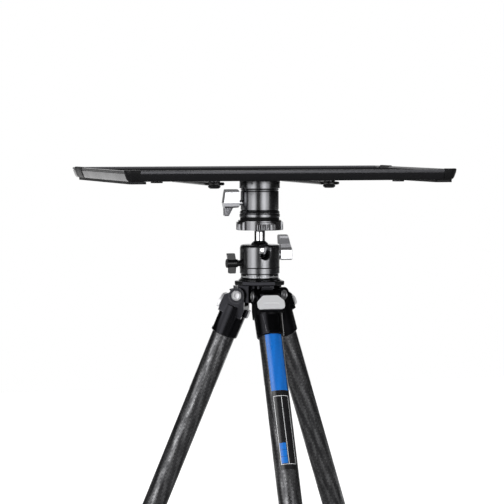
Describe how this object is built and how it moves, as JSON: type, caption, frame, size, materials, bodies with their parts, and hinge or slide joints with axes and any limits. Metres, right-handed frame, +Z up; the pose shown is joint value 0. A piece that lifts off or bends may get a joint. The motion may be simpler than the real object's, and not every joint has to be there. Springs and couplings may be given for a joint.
{
  "type": "tethering table",
  "caption": "Shallow laptop tray on a quick-release post and ball head with a drop notch, on a folding tripod with twist-lock telescoping legs.",
  "frame": {"origin": "on the floor, below the middle of the whole outline; the tray and head axis stands at x 0, y +0.084 m", "axes": "+Z up, -Y towards the front edge of the tray and the front leg, +X to the right seen from the front"},
  "size_m": [0.6072, 0.529, 0.9168],
  "materials": {
    "cast_alloy": "fine satin black coat on cast alloy, lighter where handled",
    "black_anodised": "satin black anodised, with fine turned rings",
    "silver_anodised": "fine bead-blasted silver anodised",
    "polished_ball": "hard polished",
    "carbon_tube": "woven fibre in clear satin resin",
    "black_rubber": "moulded matt rubber with fine grain",
    "black_nylon": "moulded black nylon, fine spark grain",
    "tray_mat": "thin textured non-slip sheet",
    "steel_screw": "turned steel"
  },
  "bodies": {
    "tripod_hub": {"spider": "cast_alloy", "head_screw": "steel_screw", "pan_base": "black_anodised", "front_hinge_pin": "silver_anodised", "right_hinge_pin": "silver_anodised", "left_hinge_pin": "silver_anodised"},
    "housing": {"ball_housing": "black_anodised", "ball_seat": "black_nylon"},
    "ball_lever": {"ball_lock_lever": "silver_anodised"},
    "pan_knob": {"pan_lock_knob": "black_anodised"},
    "ball": {"ball_and_stem": "polished_ball", "stem_base": "black_anodised"},
    "ring": {"release_ring": "black_anodised"},
    "tray": {"post_body": "black_anodised", "tray_boss_plate": "black_anodised", "tray_screw": "steel_screw", "tray_deck": "cast_alloy", "tray_mat": "tray_mat", "tray_rail_front": "cast_alloy", "tray_rail_back": "cast_alloy", "tray_rail_left": "cast_alloy", "tray_rail_right": "cast_alloy", "tray_bumper_left": "black_rubber", "tray_bumper_right": "black_rubber"},
    "clamp_lever": {"post_clamp_lever": "silver_anodised"},
    "arm_left": {"swing_arm_left": "black_nylon"},
    "arm_right": {"swing_arm_right": "black_nylon"},
    "arm_screw_left": {"arm_thumb_screw_left": "black_nylon"},
    "arm_screw_right": {"arm_thumb_screw_right": "black_nylon"},
    "front_leg": {"front_leg_fitting": "cast_alloy", "front_tube_1": "carbon_tube"},
    "front_tab": {"front_angle_tab": "silver_anodised"},
    "front_section_2": {"front_tube_2": "carbon_tube"},
    "front_section_3": {"front_tube_3": "carbon_tube"},
    "front_section_4": {"front_tube_4": "carbon_tube", "front_foot": "black_rubber"},
    "front_collar_1": {"front_twist_collar_1": "black_rubber"},
    "front_collar_2": {"front_twist_collar_2": "black_rubber"},
    "front_collar_3": {"front_twist_collar_3": "black_rubber"},
    "right_leg": {"right_leg_fitting": "cast_alloy", "right_tube_1": "carbon_tube"},
    "right_tab": {"right_angle_tab": "silver_anodised"},
    "right_section_2": {"right_tube_2": "carbon_tube"},
    "right_section_3": {"right_tube_3": "carbon_tube"},
    "right_section_4": {"right_tube_4": "carbon_tube", "right_foot": "black_rubber"},
    "right_collar_1": {"right_twist_collar_1": "black_rubber"},
    "right_collar_2": {"right_twist_collar_2": "black_rubber"},
    "right_collar_3": {"right_twist_collar_3": "black_rubber"},
    "left_leg": {"left_leg_fitting": "cast_alloy", "left_tube_1": "carbon_tube"},
    "left_tab": {"left_angle_tab": "silver_anodised"},
    "left_section_2": {"left_tube_2": "carbon_tube"},
    "left_section_3": {"left_tube_3": "carbon_tube"},
    "left_section_4": {"left_tube_4": "carbon_tube", "left_foot": "black_rubber"},
    "left_collar_1": {"left_twist_collar_1": "black_rubber"},
    "left_collar_2": {"left_twist_collar_2": "black_rubber"},
    "left_collar_3": {"left_twist_collar_3": "black_rubber"}
  },
  "joints": [
    {"name": "head_pan", "type": "hinge", "parent": "tripod_hub", "child": "housing", "pos_m": [0, 0.08402, 0.78944], "axis": [0, 0, 1], "continuous": true},
    {"name": "ball_lever_turn", "type": "hinge", "parent": "housing", "child": "ball_lever", "pos_m": [0, 0.08402, 0.81194], "axis": [1, 0, 0], "range_deg": [0, 120]},
    {"name": "pan_knob_turn", "type": "hinge", "parent": "housing", "child": "pan_knob", "pos_m": [0, 0.08402, 0.80204], "axis": [-1, 0, 0], "range_deg": [0, 360]},
    {"name": "ball_tilt", "type": "hinge", "parent": "housing", "child": "ball", "pos_m": [0, 0.08402, 0.81764], "axis": [1, 0, 0], "range_deg": [-30, 90]},
    {"name": "ring_turn", "type": "hinge", "parent": "ball", "child": "ring", "pos_m": [0, 0.08402, 0.84174], "axis": [0, 0, 1], "range_deg": [-90, 0]},
    {"name": "tray_spin", "type": "hinge", "parent": "ball", "child": "tray", "pos_m": [0, 0.08402, 0.85714], "axis": [0, 0, 1], "continuous": true},
    {"name": "clamp_lever_turn", "type": "hinge", "parent": "tray", "child": "clamp_lever", "pos_m": [0, 0.08402, 0.87454], "axis": [-1, 0, 0], "range_deg": [0, 90]},
    {"name": "arm_left_swing", "type": "hinge", "parent": "tray", "child": "arm_left", "pos_m": [-0.071, 0.03402, 0.90024], "axis": [0, 0, 1], "range_deg": [-30, 100]},
    {"name": "arm_screw_left_turn", "type": "hinge", "parent": "tray", "child": "arm_screw_left", "pos_m": [-0.071, 0.03402, 0.90024], "axis": [0, 0, -1], "range_deg": [0, 360]},
    {"name": "arm_right_swing", "type": "hinge", "parent": "tray", "child": "arm_right", "pos_m": [0.071, 0.03402, 0.90024], "axis": [0, 0, 1], "range_deg": [-100, 30]},
    {"name": "arm_screw_right_turn", "type": "hinge", "parent": "tray", "child": "arm_screw_right", "pos_m": [0.071, 0.03402, 0.90024], "axis": [0, 0, -1], "range_deg": [0, 360]},
    {"name": "front_leg_fold", "type": "hinge", "parent": "tripod_hub", "child": "front_leg", "pos_m": [0, 0.05922, 0.76324], "axis": [1, 0, 0], "range_deg": [0, 22.5]},
    {"name": "front_tab_pull", "type": "slide", "parent": "front_leg", "child": "front_tab", "axis": [0, -0.9239, 0.3827], "range_m": [0, 0.005], "stiffness_N_per_m": 300, "springref_m": -0.003},
    {"name": "front_section_2_slide", "type": "slide", "parent": "front_leg", "child": "front_section_2", "axis": [0, -0.3827, -0.9239], "range_m": [-0.2905, 0]},
    {"name": "front_section_3_slide", "type": "slide", "parent": "front_section_2", "child": "front_section_3", "axis": [0, -0.3827, -0.9239], "range_m": [0, 0.2905]},
    {"name": "front_section_4_slide", "type": "slide", "parent": "front_section_3", "child": "front_section_4", "axis": [0, -0.3827, -0.9239], "range_m": [0, 0.2905]},
    {"name": "front_collar_1_twist", "type": "hinge", "parent": "front_leg", "child": "front_collar_1", "pos_m": [0, -0.09049, 0.40181], "axis": [0, -0.3827, -0.9239], "range_deg": [-90, 0]},
    {"name": "front_collar_2_twist", "type": "hinge", "parent": "front_section_2", "child": "front_collar_2", "pos_m": [0, -0.21677, 0.09693], "axis": [0, -0.3827, -0.9239], "range_deg": [-90, 0]},
    {"name": "front_collar_3_twist", "type": "hinge", "parent": "front_section_3", "child": "front_collar_3", "pos_m": [0, -0.23189, 0.06044], "axis": [0, -0.3827, -0.9239], "range_deg": [-90, 0]},
    {"name": "right_leg_fold", "type": "hinge", "parent": "tripod_hub", "child": "right_leg", "pos_m": [0.02148, 0.09642, 0.76324], "axis": [-0.5, 0.866, 0], "range_deg": [0, 22.5]},
    {"name": "right_tab_pull", "type": "slide", "parent": "right_leg", "child": "right_tab", "axis": [0.8001, 0.4619, 0.3827], "range_m": [0, 0.005], "stiffness_N_per_m": 300, "springref_m": -0.003},
    {"name": "right_section_2_slide", "type": "slide", "parent": "right_leg", "child": "right_section_2", "axis": [0.3314, 0.1913, -0.9239], "range_m": [-0.2905, 0]},
    {"name": "right_section_3_slide", "type": "slide", "parent": "right_section_2", "child": "right_section_3", "axis": [0.3314, 0.1913, -0.9239], "range_m": [0, 0.2905]},
    {"name": "right_section_4_slide", "type": "slide", "parent": "right_section_3", "child": "right_section_4", "axis": [0.3314, 0.1913, -0.9239], "range_m": [0, 0.2905]},
    {"name": "right_collar_1_twist", "type": "hinge", "parent": "right_leg", "child": "right_collar_1", "pos_m": [0.15113, 0.17127, 0.40181], "axis": [0.3314, 0.1913, -0.9239], "range_deg": [-90, 0]},
    {"name": "right_collar_2_twist", "type": "hinge", "parent": "right_section_2", "child": "right_collar_2", "pos_m": [0.26049, 0.23442, 0.09693], "axis": [0.3314, 0.1913, -0.9239], "range_deg": [-90, 0]},
    {"name": "right_collar_3_twist", "type": "hinge", "parent": "right_section_3", "child": "right_collar_3", "pos_m": [0.27358, 0.24197, 0.06044], "axis": [0.3314, 0.1913, -0.9239], "range_deg": [-90, 0]},
    {"name": "left_leg_fold", "type": "hinge", "parent": "tripod_hub", "child": "left_leg", "pos_m": [-0.02148, 0.09642, 0.76324], "axis": [-0.5, -0.866, 0], "range_deg": [0, 22.5]},
    {"name": "left_tab_pull", "type": "slide", "parent": "left_leg", "child": "left_tab", "axis": [-0.8001, 0.4619, 0.3827], "range_m": [0, 0.005], "stiffness_N_per_m": 300, "springref_m": -0.003},
    {"name": "left_section_2_slide", "type": "slide", "parent": "left_leg", "child": "left_section_2", "axis": [-0.3314, 0.1913, -0.9239], "range_m": [-0.2905, 0]},
    {"name": "left_section_3_slide", "type": "slide", "parent": "left_section_2", "child": "left_section_3", "axis": [-0.3314, 0.1913, -0.9239], "range_m": [0, 0.2905]},
    {"name": "left_section_4_slide", "type": "slide", "parent": "left_section_3", "child": "left_section_4", "axis": [-0.3314, 0.1913, -0.9239], "range_m": [0, 0.2905]},
    {"name": "left_collar_1_twist", "type": "hinge", "parent": "left_leg", "child": "left_collar_1", "pos_m": [-0.15113, 0.17127, 0.40181], "axis": [-0.3314, 0.1913, -0.9239], "range_deg": [-90, 0]},
    {"name": "left_collar_2_twist", "type": "hinge", "parent": "left_section_2", "child": "left_collar_2", "pos_m": [-0.26049, 0.23442, 0.09693], "axis": [-0.3314, 0.1913, -0.9239], "range_deg": [-90, 0]},
    {"name": "left_collar_3_twist", "type": "hinge", "parent": "left_section_3", "child": "left_collar_3", "pos_m": [-0.27358, 0.24197, 0.06044], "axis": [-0.3314, 0.1913, -0.9239], "range_deg": [-90, 0]}
  ]
}
